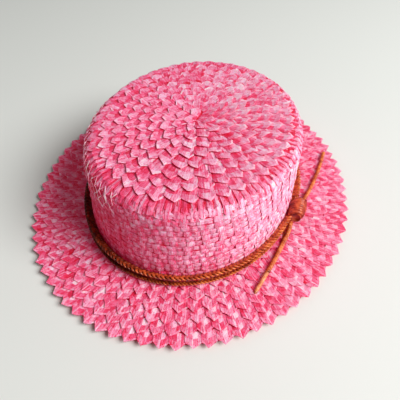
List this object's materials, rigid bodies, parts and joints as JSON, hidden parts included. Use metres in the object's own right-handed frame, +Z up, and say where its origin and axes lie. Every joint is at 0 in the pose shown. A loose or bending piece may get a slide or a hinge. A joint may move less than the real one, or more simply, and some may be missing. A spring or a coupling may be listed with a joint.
{
  "type": "straw boater hat",
  "caption": "Oval straw boater hat with a flat-topped crown, a flat sawtooth-edged brim and a braided cord band tied in a coil knot with two loose ends.",
  "frame": {"origin": "on the crown's axis, at the flat underside of the brim that the hat rests on", "axes": "+Z up through the crown, +Y along the long way of the head, +X towards the knot of the band"},
  "size_m": [0.2652, 0.3036, 0.0705],
  "materials": {
    "straw": "sewn straw plait, softly glossy",
    "cord": "braided leather cord, satin"
  },
  "bodies": {
    "root": {"crown": "straw", "brim": "straw", "band_cord_upper": "cord", "band_cord_lower": "cord", "band_knot": "cord", "cord_tail_front": "cord", "cord_tail_back": "cord"}
  },
  "joints": []
}
